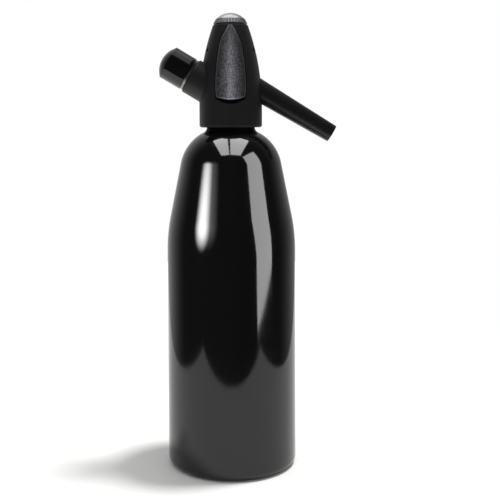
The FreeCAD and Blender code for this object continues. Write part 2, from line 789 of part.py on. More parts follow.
def make_cap():
    crown = f"({CAP_FOOT} + cap_length)"
    top = "(cap_radius - cap_edge)"
    dome_arc = f"(({top} ^ 2 + cap_dome ^ 2) / (2 * cap_dome))"
    bore = "(nipple_radius + slip_fit)"
    return turned("inlet_cap", INLET, [
        (bore, CAP_FOOT),
        (top, CAP_FOOT),
        ("cap_radius", f"{CAP_FOOT} + cap_edge", "cap_edge"),
        ("cap_radius", f"{crown} - cap_edge"),
        (top, crown, "cap_edge"),
        ("0", f"{crown} + cap_dome", dome_arc),
        ("0", CAP_ROOF),
        (bore, CAP_ROOF),
    ])


def make_cap_seal():
    return ring("cap_seal", INLET, "cap_seal_hole", "nipple_radius",
                "nipple_end + seat_gap", f"{CAP_ROOF} - seat_gap")


# Lever: a leaf that lies flush in the head, its carrier and the cross pin

def make_lever():
    foot_arc = "(leaf_foot_half ^ 2 + leaf_foot_sag ^ 2) / (2 * leaf_foot_sag)"
    foot_in = "(leaf_wide_half - leaf_foot_half)"
    foot_rise = "(leaf_wide - leaf_foot)"
    corner_arc = f"({foot_rise} ^ 2 + {foot_in} ^ 2) / (2 * {foot_in})"

    def leaf(name, gap):
        outline = leaf_outline(gap, [
            (f"-leaf_foot_half - {gap}", f"{SKIRT_TOP} + leaf_foot", corner_arc),
            (f"leaf_foot_half + {gap}", f"{SKIRT_TOP} + leaf_foot", foot_arc),
        ])
        outline[2] = outline[2] + (corner_arc,)
        return plate(name, "XZ_Plane", FRONT, outline, "skirt_radius")

    def ogive_solid(name, offset):
        foot = SKIRT_TOP
        top = f"({HEAD_TOP} + skirt_edge)"
        return turned(name, UPRIGHT, [
            ("0", foot),
            (ogive(foot, offset), foot),
            (ogive(top, offset), top, f"ogive_arc + {offset}"),
            ("0", top),
        ])

    inner = "(leaf_proud - leaf_thickness)"
    skin = shared("leaf_blank", [leaf("leaf_front", "0"), ogive_solid("leaf_outside", "leaf_proud")])
    face = cut("lever_face", skin, [ogive_solid("leaf_inside", inner)])

    pad_front = "(-stem_reach - pad_clearance)"
    side = plate("arm_side", "YZ_Plane", ((0, 0, 1), "0", ("-arm_half_width", "0", "0")), [
        ("-pivot_forward", f"{PIVOT_HEIGHT} + hub_radius", "hub_radius"),
        ("-skirt_radius", f"{PIVOT_HEIGHT} + hub_radius"),
        ("-skirt_radius", f"{SKIRT_TOP} + arm_foot"),
        ("-arm_inside", f"{SKIRT_TOP} + arm_foot"),
        ("-arm_inside", f"{VALVE_HEIGHT} - pad_half"),
        (pad_front, f"{VALVE_HEIGHT} - pad_half"),
        (pad_front, f"{VALVE_HEIGHT} + pad_half"),
        ("-arm_inside", f"{VALVE_HEIGHT} + pad_half"),
        ("-arm_top_inside", BLOCK_TOP),
        ("-pivot_forward", f"{PIVOT_HEIGHT} - hub_radius"),
        ("-pivot_forward + hub_radius", PIVOT_HEIGHT, "hub_radius"),
    ], "2 * arm_half_width")
    arm_blank = shared("arm_blank", [
        side, leaf("arm_front", "(-leaf_gap)"), ogive_solid("arm_outside", inner)])
    arm = cut("lever_arm", arm_blank, [
        box("arm_slot", ("-arm_slot_half", "arm_slot_half"),
            ("-arm_top_inside", "skirt_radius"), (SKIRT_TOP, HEAD_TOP)),
        rod("arm_pin_hole", PIN, "pin_radius + running_fit", "-skirt_radius", "skirt_radius"),
    ])
    half = f"(sqrt({ogive(PIVOT_HEIGHT)} ^ 2 - pivot_forward ^ 2) - pin_recess)"
    pin = turned("lever_pin", PIN, [
        ("0", f"-{half}"),
        ("pin_radius", f"-{half}"),
        ("pin_radius", half),
        ("0", half),
    ])
    return {"lever_face": face, "lever_arm": arm, "lever_pin": pin}


parts = {
    "bottle_shell": make_bottle(),
    "neck_gasket": make_gasket(),
    "head_housing": make_head(),
    "valve_block": make_block(),
    "riser_tube": make_riser(),
    "riser_seal": make_riser_seal(),
    "valve_plunger": make_plunger(),
    "plunger_seal": make_plunger_seal(),
    "stem_seal": make_stem_seal(),
    "valve_gland": make_gland(),
    "valve_plug": make_plug(),
    "valve_spring": make_spring(),
    "crown_nut": make_crown(),
    "crown_washer": make_crown_washer(),
    "spout": make_spout(),
    "spout_seal": make_spout_seal(),
    "inlet_fitting": make_inlet_fitting(),
    "check_sleeve": make_check_sleeve(),
    "inlet_filter": make_filter(),
    "piercing_pin": make_piercing_pin(),
    "inlet_seal": make_inlet_seal(),
    "inlet_cap": make_cap(),
    "cap_seal": make_cap_seal(),
}
parts.update(make_lever())
doc.recompute()

for item in doc.Objects:
    if "Invalid" in item.State or "Error" in item.State:
        raise ValueError(f"{item.Name} failed: {item.State}")

os.makedirs("parts", exist_ok=True)
for name, piece in parts.items():
    piece.Label = name
    shape = piece.Shape
    if shape.isNull() or not shape.isValid() or len(shape.Solids) != 1:
        raise ValueError(f"{name} is not one sound solid")
    print(f"{name:16s} {shape.Volume:12.2f} mm3")
for name, piece in parts.items():
    piece.Shape.exportStep(f"parts/{name}.step")
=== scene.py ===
import math
import bmesh
import bpy
from mathutils import Matrix, Vector


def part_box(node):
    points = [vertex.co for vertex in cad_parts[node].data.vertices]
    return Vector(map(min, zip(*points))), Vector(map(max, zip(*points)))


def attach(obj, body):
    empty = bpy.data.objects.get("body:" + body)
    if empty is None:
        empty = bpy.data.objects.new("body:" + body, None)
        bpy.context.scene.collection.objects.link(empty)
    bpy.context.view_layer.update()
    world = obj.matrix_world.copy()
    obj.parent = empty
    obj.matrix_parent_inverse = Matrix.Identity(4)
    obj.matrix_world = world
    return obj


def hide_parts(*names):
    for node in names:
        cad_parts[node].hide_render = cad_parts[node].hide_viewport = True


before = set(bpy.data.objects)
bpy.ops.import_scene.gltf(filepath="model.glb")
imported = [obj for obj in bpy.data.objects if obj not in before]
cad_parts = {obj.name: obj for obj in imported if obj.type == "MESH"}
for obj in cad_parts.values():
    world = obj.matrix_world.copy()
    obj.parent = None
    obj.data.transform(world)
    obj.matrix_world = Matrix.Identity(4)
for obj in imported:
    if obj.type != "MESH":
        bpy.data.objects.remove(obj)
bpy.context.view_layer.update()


# Camera
# A product shot from just above the bottle's shoulder, looking down a little. The lens and the
# shifts are those that put the bottle's outline where the photograph has it.

MM = 0.001
CAMERA_DISTANCE = 625.5 * MM
CAMERA_HEIGHT = 233.8 * MM
CAMERA_DIP = math.radians(2.17)
CAMERA_ROLL = math.radians(-0.26)
PICTURE_SIDE = 500
FOCAL_PIXELS = 908.2
CENTRE_ACROSS, CENTRE_DOWN = 230.94, 158.0

camera_data = bpy.data.cameras.new("camera")
camera_data.sensor_width = 36.0
camera_data.lens = camera_data.sensor_width * FOCAL_PIXELS / PICTURE_SIDE
camera_data.shift_x = (PICTURE_SIDE / 2 - CENTRE_ACROSS) / PICTURE_SIDE
camera_data.shift_y = -(PICTURE_SIDE / 2 - CENTRE_DOWN) / PICTURE_SIDE
camera_data.clip_start = 0.01
camera = bpy.data.objects.new("camera", camera_data)
bpy.context.scene.collection.objects.link(camera)
bpy.context.scene.camera = camera
camera.matrix_world = (
    Matrix.Translation((0, -CAMERA_DISTANCE, CAMERA_HEIGHT))
    @ Matrix.Rotation(math.pi / 2 - CAMERA_DIP, 4, "X")
    @ Matrix.Rotation(CAMERA_ROLL, 4, "Z"))
bpy.context.scene.view_settings.view_transform = "Standard"


# Table
# A seamless white sweep, slightly satin, that the bottle stands on. It is only the stage.

def linear(code):
    """sRGB hex to a linear colour."""
    parts = [int(code[i:i + 2], 16) / 255 for i in (1, 3, 5)]
    return [c / 12.92 if c <= 0.04045 else ((c + 0.055) / 1.055) ** 2.4 for c in parts] + [1.0]


def add(tree, kind, settings=None, **links):
    """Add a node with settings by socket name and links from other nodes' sockets."""
    node = tree.nodes.new(kind)
    for name, value in (settings or {}).items():
        if name in node.inputs:
            node.inputs[name].default_value = value
        else:
            setattr(node, name, value)
    for name, socket in links.items():
        tree.links.new(socket, node.inputs[name.replace("_", " ")])
    return node


def new_material(name, **sockets):
    """A material with one principled shader whose constant sockets are set here."""
    material = bpy.data.materials.new(name)
    material.use_nodes = True
    shader = material.node_tree.nodes["Principled BSDF"]
    for socket, value in sockets.items():
        shader.inputs[socket.replace("_", " ")].default_value = value
    return material, material.node_tree, shader


def object_of(name, mesh, *materials):
    piece = bpy.data.objects.new(name, mesh)
    bpy.context.scene.collection.objects.link(piece)
    for material in materials:
        mesh.materials.append(material)
    return piece


paper, tree, shader = new_material(
    "white_paper_sweep", Base_Color=linear("#f4f4f3"), Roughness=0.55)
place = add(tree, "ShaderNodeNewGeometry")
mottle = add(tree, "ShaderNodeTexNoise", {"Scale": 6.0, "Detail": 3.0}, Vector=place.outputs["Position"])
tone = add(tree, "ShaderNodeMapRange", {"To Min": 0.5, "To Max": 0.6}, Value=mottle.outputs["Fac"])
tree.links.new(tone.outputs["Result"], shader.inputs["Roughness"])

TABLE_HALF, TABLE_FRONT, TABLE_BACK = 0.3, -0.26, 0.9
table_mesh = bpy.data.meshes.new("table")
table_mesh.from_pydata(
    [(-TABLE_HALF, TABLE_FRONT, 0), (TABLE_HALF, TABLE_FRONT, 0),
     (TABLE_HALF, TABLE_BACK, 0), (-TABLE_HALF, TABLE_BACK, 0)], [], [(0, 1, 2, 3)])
table = object_of("table", table_mesh, paper)


# Bottle
# One drawn aluminium shell of even wall, sprayed with gloss black lacquer outside. It has a domed
# foot and a rolled thread at the neck; the inside is bare metal.

def bend(across, up, radius, start, end, count):
    """Points on an arc round (across, up), from start to end degrees."""
    turns = [math.radians(start + (end - start) * i / count) for i in range(count + 1)]
    return [(across + radius * math.cos(t), up + radius * math.sin(t)) for t in turns]


def run(start, end, count):
    """Evenly spaced points from start to end, without the start itself."""
    return [(start[0] + (end[0] - start[0]) * i / count, start[1] + (end[1] - start[1]) * i / count)
            for i in range(1, count + 1)]


def finished_mesh(form, name, sharp):
    """A mesh from a bmesh, smooth except at edges sharper than the given degrees."""
    bmesh.ops.remove_doubles(form, verts=form.verts, dist=1e-7)
    bmesh.ops.recalc_face_normals(form, faces=form.faces)
    mesh = bpy.data.meshes.new(name)
    form.to_mesh(mesh)
    form.free()
    mesh.shade_smooth()
    mesh.set_sharp_from_angle(angle=math.radians(sharp))
    return mesh


def lathe(name, outline, steps=192, wave=None, sharp=35, paint=None):
    """A turned form round Z from (radius, height) in mm; wave may change the radius by angle."""
    form = bmesh.new()
    rings = []
    closed = outline[0] == outline[-1]
    for radius, height in outline[:-1] if closed else outline:
        if radius < 1e-6:
            rings.append([form.verts.new((0, 0, height * MM))] * steps)
            continue
        ring = []
        for i in range(steps):
            angle = 2 * math.pi * i / steps
            out = wave(radius, height, angle) if wave else radius
            ring.append(form.verts.new((out * MM * math.cos(angle), out * MM * math.sin(angle),
                                        height * MM)))
        rings.append(ring)
    if closed:
        rings.append(rings[0])
    for index, (low, high) in enumerate(zip(rings, rings[1:])):
        for i in range(steps):
            j = (i + 1) % steps
            corners = list(dict.fromkeys((low[i], low[j], high[j], high[i])))
            if len(corners) > 2:
                face = form.faces.new(corners)
                if paint:
                    face.material_index = paint(index)
    return finished_mesh(form, name, sharp)


BOTTLE_RADIUS, BOTTLE_WALL = 44.0, 2.0
BASE_CORNER, PUNT_RADIUS, PUNT_HEIGHT, BASE_THICKNESS = 5.0, 37.0, 7.0, 2.5
TAPER_HEIGHT, TAPER, BLEND_ARC = 159.0, 11.2, 120.0
SHOULDER_HEIGHT, SHOULDER_ARC = 207.0, 30.0
NECK_RADIUS, NECK_FILLET = 16.5, 4.0
THREAD_DEPTH, THREAD_PITCH, THREAD_FOOT, THREAD_FADE = 1.0, 4.0, 234.2, 0.8
RIM_EDGE, TAPER_LENGTH = 0.4, 40.0
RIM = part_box("bottle_shell")[1].z / MM

slope = math.radians(TAPER)
blend_reach = BLEND_ARC * math.tan(slope / 2)
taper_end = BOTTLE_RADIUS - (SHOULDER_HEIGHT - TAPER_HEIGHT) * math.tan(slope)
shoulder_across = taper_end - SHOULDER_ARC * math.cos(slope)
shoulder_up = SHOULDER_HEIGHT - SHOULDER_ARC * math.sin(slope)
fillet_across = NECK_RADIUS + NECK_FILLET
fillet_up = shoulder_up + math.sqrt(
    (SHOULDER_ARC + NECK_FILLET) ** 2 - (fillet_across - shoulder_across) ** 2)
meeting = math.degrees(math.atan2(fillet_up - shoulder_up, fillet_across - shoulder_across))


def bottle_side(inset):
    """From the foot's corner to the neck, set in by a wall."""
    blend_across = BOTTLE_RADIUS - BLEND_ARC
    blend_up = TAPER_HEIGHT - blend_reach
    top_across = taper_end - inset * math.cos(slope)
    top_up = SHOULDER_HEIGHT - inset * math.sin(slope)
    return (
        bend(BOTTLE_RADIUS - BASE_CORNER, BASE_CORNER, BASE_CORNER - inset, -90, 0, 10)
        + run((BOTTLE_RADIUS - inset, BASE_CORNER), (BOTTLE_RADIUS - inset, blend_up), 24)[:-1]
        + bend(blend_across, blend_up, BLEND_ARC - inset, 0, TAPER, 24)
        + run((top_across + TAPER_LENGTH * math.sin(slope), top_up - TAPER_LENGTH * math.cos(slope)),
              (top_across, top_up), 12)[2:-1]
        + bend(shoulder_across, shoulder_up, SHOULDER_ARC - inset, TAPER, meeting, 40)
        + bend(fillet_across, fillet_up, NECK_FILLET + inset, meeting - 180, -180, 14)[1:]
    )


def neck_thread(radius, height, angle):
    """One ridge that winds up the neck and fades in and out at its ends."""
    if not THREAD_FOOT <= height <= RIM - THREAD_FADE or radius < NECK_RADIUS - 0.1:
        return radius
    phase = (height / THREAD_PITCH - angle / (2 * math.pi)) % 1.0
    ridge = min(1.0, max(0.0, 2.6 - abs(phase - 0.5) * 10.0))
    fade = min(1.0, (height - THREAD_FOOT) / THREAD_FADE, (RIM - THREAD_FADE - height) / THREAD_FADE)
    return radius + THREAD_DEPTH * ridge * max(0.0, fade)


dome_arc = (PUNT_RADIUS ** 2 + PUNT_HEIGHT ** 2) / (2 * PUNT_HEIGHT)
dome_turn = math.degrees(math.asin(PUNT_RADIUS / dome_arc))
foot = bend(0, PUNT_HEIGHT - dome_arc, dome_arc, 90, 90 - dome_turn, 20)
floor = bend(0, PUNT_HEIGHT - dome_arc, dome_arc + BASE_THICKNESS, 90 - dome_turn, 90, 16)
neck = run((NECK_RADIUS, fillet_up), (NECK_RADIUS, RIM - RIM_EDGE), 34)
rim_edge = bend(NECK_RADIUS - RIM_EDGE, RIM - RIM_EDGE, RIM_EDGE, 0, 90, 4)[1:]
mouth = bend(NECK_RADIUS - BOTTLE_WALL + RIM_EDGE, RIM - RIM_EDGE, RIM_EDGE, 90, 180, 4)
outside = foot + bottle_side(0) + neck + rim_edge
inside = mouth + bottle_side(BOTTLE_WALL)[::-1] + floor
inside_start = len(outside)

# Gloss black lacquer: a clear-looking hard coat over black, with a faint orange peel of 2 to 3 mm
# and hair scratches that break up the reflections a little.
lacquer, tree, shader = new_material(
    "gloss_black_lacquer", Base_Color=linear("#0c0c0d"), Roughness=0.07, IOR=1.5)
place = add(tree, "ShaderNodeNewGeometry")
PEEL = 2.5
peel = add(tree, "ShaderNodeTexNoise", {"Scale": 1000 / PEEL, "Detail": 2.0},
           Vector=place.outputs["Position"])
smear = add(tree, "ShaderNodeTexNoise", {"Scale": 26.0, "Detail": 6.0, "Roughness": 0.65},
            Vector=place.outputs["Position"])
sheen_range = add(tree, "ShaderNodeMapRange",
                  {"From Min": 0.3, "From Max": 0.7, "To Min": 0.05, "To Max": 0.095},
                  Value=smear.outputs["Fac"])
tree.links.new(sheen_range.outputs["Result"], shader.inputs["Roughness"])
peel_bump = add(tree, "ShaderNodeBump", {"Strength": 0.012, "Distance": 0.0004},
                Height=peel.outputs["Fac"])
tree.links.new(peel_bump.outputs["Normal"], shader.inputs["Normal"])

# Bare drawn aluminium inside: soft grey with fine rings from the drawing die.
bare, tree, shader = new_material(
    "drawn_aluminium", Base_Color=linear("#b9bbbd"), Metallic=1.0, Roughness=0.38)
place = add(tree, "ShaderNodeNewGeometry")
stretch = add(tree, "ShaderNodeMapping", {"Scale": (30, 30, 900)}, Vector=place.outputs["Position"])
rings = add(tree, "ShaderNodeTexNoise", {"Scale": 1.0, "Detail": 3.0}, Vector=stretch.outputs["Vector"])
ring_bump = add(tree, "ShaderNodeBump", {"Strength": 0.15, "Distance": 0.0002},
                Height=rings.outputs["Fac"])
tree.links.new(ring_bump.outputs["Normal"], shader.inputs["Normal"])

bottle_mesh = lathe("bottle", outside + inside + [outside[0]], steps=256, wave=neck_thread,
                    paint=lambda index: 0 if index < inside_start else 1)
bottle = object_of("bottle", bottle_mesh, lacquer, bare)
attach(bottle, "bottle")
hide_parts("bottle_shell")


# Head housing
# One moulding in black ABS with a fine spark-eroded grain: a straight skirt, an ogive above it, the
# boss of the gas inlet, a pocket for the lever and a socket for the spout.

SKIRT_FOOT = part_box("head_housing")[0].z / MM
HEAD_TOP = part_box("head_housing")[1].z / MM
SKIRT_RADIUS, SKIRT_EDGE, SKIRT_LENGTH = 21.5, 1.7, 15.0
OGIVE_ARC, TOP_EDGE = 163.0, 1.6
SKIRT_TOP = SKIRT_FOOT + SKIRT_LENGTH
SKIRT_BORE, CORE_BORE, STUD_BORE = 17.9, 12.3, 3.6
FLANGE_TOP, CORE_TOP = RIM + 5.0, RIM + 35.1
SLANT = math.radians(31.0)
INLET_UP, SPOUT_UP = RIM + 8.4, RIM + 26.3
GAP = 0.35


def along(up, direction, distance=0.0):
    """Placement of a form turned round Z onto a slanted line through the bottle's axis."""
    turn = Vector((0, 0, 1)).rotation_difference(direction).to_matrix().to_4x4()
    return Matrix.Translation(Vector((0, 0, up * MM)) + direction * distance * MM) @ turn


INLET_WAY = Vector((-math.cos(SLANT), 0, math.sin(SLANT)))
SPOUT_WAY = Vector((math.cos(SLANT), 0, -math.sin(SLANT)))
inlet_line = along(INLET_UP, INLET_WAY)
spout_line = along(SPOUT_UP, SPOUT_WAY)


def ogive(height, out=0.0):
    """Radius of the head's outside, moved out by a distance."""
    if height <= SKIRT_TOP:
        return SKIRT_RADIUS + out
    return SKIRT_RADIUS - OGIVE_ARC + math.sqrt((OGIVE_ARC + out) ** 2 - (height - SKIRT_TOP) ** 2)


LEAF_FOOT, LEAF_FOOT_HALF, LEAF_SAG = 5.2, 9.4, 1.6
LEAF_WIDE, LEAF_WIDE_HALF = 11.0, 10.2
LEAF_NARROW, LEAF_NARROW_HALF = 42.0, 7.1
LEAF_TIP, LEAF_TIP_HALF, LEAF_TIP_ARC = 53.6, 1.6, 1.75
POCKET_FOOT, POCKET_FOOT_HALF = 0.8, 2.8
POCKET_CORNER, POCKET_CORNER_HALF = 3.9, 9.9


def leaf_half(rise):
    """Half the leaf's width at a rise above the skirt."""
    if rise <= LEAF_WIDE:
        share = (LEAF_WIDE - rise) / (LEAF_WIDE - LEAF_FOOT)
        return LEAF_WIDE_HALF - (LEAF_WIDE_HALF - LEAF_FOOT_HALF) * share ** 2
    if rise <= LEAF_NARROW:
        share = (rise - LEAF_WIDE) / (LEAF_NARROW - LEAF_WIDE)
        return LEAF_WIDE_HALF - (LEAF_WIDE_HALF - LEAF_NARROW_HALF) * share ** 2
    if rise <= LEAF_TIP:
        share = (rise - LEAF_NARROW) / (LEAF_TIP - LEAF_NARROW)
        straight = LEAF_NARROW_HALF + (LEAF_TIP_HALF - LEAF_NARROW_HALF) * share
        return straight + 0.28 * 4 * share * (1 - share)
    centre = LEAF_TIP - math.sqrt(LEAF_TIP_ARC ** 2 - LEAF_TIP_HALF ** 2)
    return math.sqrt(max(0.0, LEAF_TIP_ARC ** 2 - (rise - centre) ** 2))


LEAF_TOP = LEAF_TIP - math.sqrt(LEAF_TIP_ARC ** 2 - LEAF_TIP_HALF ** 2) + LEAF_TIP_ARC


def prism(name, outline, near, far):
    """A bar between two depths on Y, from an outline of (across, height)."""
    form = bmesh.new()
    front = [form.verts.new((x * MM, near * MM, z * MM)) for x, z in outline]
    back = [form.verts.new((x * MM, far * MM, z * MM)) for x, z in outline]
    form.faces.new(front)
    form.faces.new(back[::-1])
    for i in range(len(outline)):
        j = (i + 1) % len(outline)
        form.faces.new((front[i], back[i], back[j], front[j]))
    return finished_mesh(form, name, 30)


def solid(mesh, placement=Matrix.Identity(4)):
    mesh.transform(placement)
    return object_of(mesh.name, mesh)


def carved(body, joined, hollows, voxel, smoothing):
    """Join and cut forms, then even the result out so that every edge is slightly rounded."""
    for operation, tools in (("UNION", joined), ("DIFFERENCE", hollows)):
        for tool in tools:
            step = body.modifiers.new(tool.name, "BOOLEAN")
            step.operation = operation
            step.solver = "EXACT"
            step.object = tool
    remesh = body.modifiers.new("even", "REMESH")
    remesh.mode = "VOXEL"
    remesh.voxel_size = voxel * MM
    if smoothing:
        soften = body.modifiers.new("soften", "SMOOTH")
        soften.iterations = smoothing
        soften.factor = 0.5
    graph = bpy.context.evaluated_depsgraph_get()
    mesh = bpy.data.meshes.new_from_object(body.evaluated_get(graph))
    for tool in (*joined, *hollows, body):
        bpy.data.objects.remove(tool)
    mesh.shade_smooth()
    return mesh


ogive_steps = [SKIRT_TOP + (HEAD_TOP - TOP_EDGE - SKIRT_TOP) * i / 40 for i in range(41)]
top_radius = ogive(HEAD_TOP - TOP_EDGE)
head_outline = (
    [(0, SKIRT_FOOT), (SKIRT_RADIUS - SKIRT_EDGE, SKIRT_FOOT)]
    + bend(SKIRT_RADIUS - SKIRT_EDGE, SKIRT_FOOT + SKIRT_EDGE, SKIRT_EDGE, -90, 0, 8)[1:]
    + [(ogive(height), height) for height in ogive_steps]
    + bend(top_radius - TOP_EDGE, HEAD_TOP - TOP_EDGE, TOP_EDGE, 0, 90, 8)[1:]
    + [(0, HEAD_TOP)])
BOSS_RADIUS, BOSS_END, BOSS_EDGE = 12.4, 32.15, 0.8
NIPPLE_BORE, NIPPLE_START = 9.6, 20.6
SPOUT_ROOT, SPOUT_SHOULDER, SHANK = 7.7, 19.0, 6.1
boss = solid(lathe("boss", [(0, 8), (BOSS_RADIUS, 8), (BOSS_RADIUS, BOSS_END - BOSS_EDGE),
                            (BOSS_RADIUS - BOSS_EDGE, BOSS_END), (0, BOSS_END)], steps=96), inlet_line)
pocket_outline = (
    [(-POCKET_CORNER_HALF, SKIRT_TOP + POCKET_CORNER), (-POCKET_FOOT_HALF, SKIRT_TOP + POCKET_FOOT),
     (POCKET_FOOT_HALF, SKIRT_TOP + POCKET_FOOT), (POCKET_CORNER_HALF, SKIRT_TOP + POCKET_CORNER)]
    + [(leaf_half(LEAF_WIDE + (LEAF_TOP - LEAF_WIDE) * i / 40) + GAP,
        SKIRT_TOP + LEAF_WIDE + (LEAF_TOP - LEAF_WIDE) * i / 40) for i in range(40)]
    + [(0, SKIRT_TOP + LEAF_TOP + GAP)]
    + [(-leaf_half(LEAF_WIDE + (LEAF_TOP - LEAF_WIDE) * i / 40) - GAP,
        SKIRT_TOP + LEAF_WIDE + (LEAF_TOP - LEAF_WIDE) * i / 40) for i in range(39, -1, -1)])
hollows = [
    solid(lathe("skirt_bore", [(0, SKIRT_FOOT - 2), (SKIRT_BORE, SKIRT_FOOT - 2),
                               (SKIRT_BORE, FLANGE_TOP), (0, FLANGE_TOP)], steps=96)),
    solid(lathe("core_bore", [(0, FLANGE_TOP - 1), (CORE_BORE, FLANGE_TOP - 1),
                              (CORE_BORE, CORE_TOP), (0, CORE_TOP)], steps=96)),
    solid(lathe("stud_bore", [(0, CORE_TOP - 1), (STUD_BORE, CORE_TOP - 1),
                              (STUD_BORE, HEAD_TOP + 2), (0, HEAD_TOP + 2)], steps=48)),
    solid(prism("pocket", pocket_outline, -24.0, -9.0)),
    solid(lathe("spout_socket", [(0, 9.5), (SHANK, 9.5), (SHANK, SPOUT_SHOULDER),
                                 (SPOUT_ROOT + 0.1, SPOUT_SHOULDER), (SPOUT_ROOT + 0.1, 40),
                                 (0, 40)], steps=96), spout_line),
    solid(lathe("inlet_socket", [(0, 11.5), (5.6, 11.5), (5.6, NIPPLE_START),
                                 (NIPPLE_BORE, NIPPLE_START), (NIPPLE_BORE, 34), (0, 34)],
                steps=96), inlet_line),
]
pin_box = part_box("lever_pin")
PIN_HOLE, PIN_HOLE_REACH = 1.27, 22
PIN_UP = (pin_box[0].z + pin_box[1].z) / 2 / MM
PIN_FORWARD = (pin_box[0].y + pin_box[1].y) / 2 / MM
pin_line = Matrix.Translation((0, PIN_FORWARD * MM, PIN_UP * MM)) @ Matrix.Rotation(math.pi / 2, 4, "Y")
hollows.append(solid(
    lathe("pin_bore", [(0, -PIN_HOLE_REACH), (PIN_HOLE, -PIN_HOLE_REACH), (PIN_HOLE, PIN_HOLE_REACH),
                       (0, PIN_HOLE_REACH)], steps=32), pin_line))
EAR_HALF, EAR_FOOT, EAR_TOP = 9.1, CORE_TOP - 0.2, PIN_UP + 3.8
ear_room = [(-EAR_HALF, EAR_FOOT), (EAR_HALF, EAR_FOOT), (EAR_HALF, EAR_TOP), (-EAR_HALF, EAR_TOP)]
hollows.append(solid(prism("ear_room", ear_room, -13.5, -2.3)))
head_mesh = carved(solid(lathe("head_form", head_outline, steps=160)), [boss], hollows, 0.3, 4)

# Moulded ABS with a fine erosion grain: dull and even, with a painted highlight on the raised grain and
# painted shade in its dips.
# The real grain of about 0.1 mm is drawn at 0.35 mm so that it shows.
grained_abs, tree, shader = new_material(
    "grained_black_abs", Base_Color=linear("#17171a"), Roughness=0.5, IOR=1.53)
place = add(tree, "ShaderNodeNewGeometry")
GRAIN = 0.35
grain = add(tree, "ShaderNodeTexNoise", {"Scale": 1000 / GRAIN, "Detail": 3.0, "Roughness": 0.6},
            Vector=place.outputs["Position"])
grain_bump = add(tree, "ShaderNodeBump", {"Strength": 0.25, "Distance": 0.00012},
                 Height=grain.outputs["Fac"])
tree.links.new(grain_bump.outputs["Normal"], shader.inputs["Normal"])
touch = add(tree, "ShaderNodeTexNoise", {"Scale": 60.0, "Detail": 5.0}, Vector=place.outputs["Position"])
touch_range = add(tree, "ShaderNodeMapRange", {"To Min": 0.42, "To Max": 0.58},
                  Value=touch.outputs["Fac"])
tree.links.new(touch_range.outputs["Result"], shader.inputs["Roughness"])
# Painted light: the raised grain is given a lighter colour and its dips a darker one.
grain_light_and_shade = add(tree, "ShaderNodeMix", {"data_type": "RGBA"}, Factor=grain.outputs["Fac"])
grain_light_and_shade.inputs[6].default_value = linear("#141416")
grain_light_and_shade.inputs[7].default_value = linear("#1c1c1f")
tree.links.new(grain_light_and_shade.outputs[2], shader.inputs["Base Color"])

head = object_of("head", head_mesh, grained_abs)
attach(head, "head")
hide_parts("head_housing")


# Lever
# A leaf of die-cast zinc, hammer-finished in dark silver, that lies flush in the head and swings on
# a steel cross pin. Behind it sits a glass-filled nylon carrier with two ears.

# The last number is the width in mm of the band along the leaf's rim that is painted lighter as a
# highlight.
LEAF_PROUD, LEAF_THICKNESS, LEAF_EDGE, HIGHLIGHT_BAND = 0.3, 1.6, 0.3, 1.0
LEAF_ROWS, LEAF_COLUMNS = 120, 48
form = bmesh.new()
rim_mark = form.verts.layers.float.new("rim")
grid = []
for row in range(LEAF_ROWS + 1):
    share = row / LEAF_ROWS
    rise = LEAF_FOOT + (LEAF_TOP - 0.02 - LEAF_FOOT) * (1 - (1 - share) ** 1.35)
    line = []
    for column in range(LEAF_COLUMNS + 1):
        across = math.sin((column / LEAF_COLUMNS - 0.5) * math.pi) * leaf_half(rise)
        sag = LEAF_SAG * (1 - (across / LEAF_FOOT_HALF) ** 2) * max(0.0, 1 - share * 2) ** 2
        height = SKIRT_TOP + rise - max(0.0, sag)
        depth = -math.sqrt(ogive(height, LEAF_PROUD) ** 2 - across ** 2)
        vertex = form.verts.new((across * MM, depth * MM, height * MM))
        # The rim attribute runs from 0 at the edge to 1 inside that band, for the painted highlight.
        edge_distance = min(leaf_half(rise) - abs(across), rise - LEAF_FOOT)
        vertex[rim_mark] = min(1.0, max(0.0, edge_distance / HIGHLIGHT_BAND))
        line.append(vertex)
    grid.append(line)
for low, high in zip(grid, grid[1:]):
    for column in range(LEAF_COLUMNS):
        form.faces.new((low[column], low[column + 1], high[column + 1], high[column]))
bmesh.ops.recalc_face_normals(form, faces=form.faces)
leaf_mesh = bpy.data.meshes.new("leaf")
form.to_mesh(leaf_mesh)
form.free()
leaf = object_of("leaf", leaf_mesh)
thick = leaf.modifiers.new("thick", "SOLIDIFY")
thick.thickness = LEAF_THICKNESS * MM
thick.offset = -1.0
rounded = leaf.modifiers.new("rounded", "BEVEL")
rounded.width = LEAF_EDGE * MM
rounded.segments = 3
rounded.limit_method = "ANGLE"
rounded.angle_limit = math.radians(50)
graph = bpy.context.evaluated_depsgraph_get()
leaf_mesh = bpy.data.meshes.new_from_object(leaf.evaluated_get(graph))
bpy.data.objects.remove(leaf)
leaf_mesh.shade_smooth()

# Hammer-finished zinc: small shallow pebbles of about 0.7 mm that scatter a broad sheen, with painted
# shade in the valleys between them and a painted highlight that makes the rim lighter.
hammered, tree, shader = new_material(
    "hammered_zinc", Base_Color=linear("#77777a"), Metallic=1.0, Roughness=0.42)
place = add(tree, "ShaderNodeNewGeometry")
PEBBLE = 0.75
pebble = add(tree, "ShaderNodeTexVoronoi", {"Scale": 1000 / PEBBLE}, Vector=place.outputs["Position"])
pebble.feature = "SMOOTH_F1"
pebble_bump = add(tree, "ShaderNodeBump", {"Strength": 0.5, "Distance": 0.00022},
                  Height=pebble.outputs["Distance"])
pebble_bump.invert = True
tree.links.new(pebble_bump.outputs["Normal"], shader.inputs["Normal"])
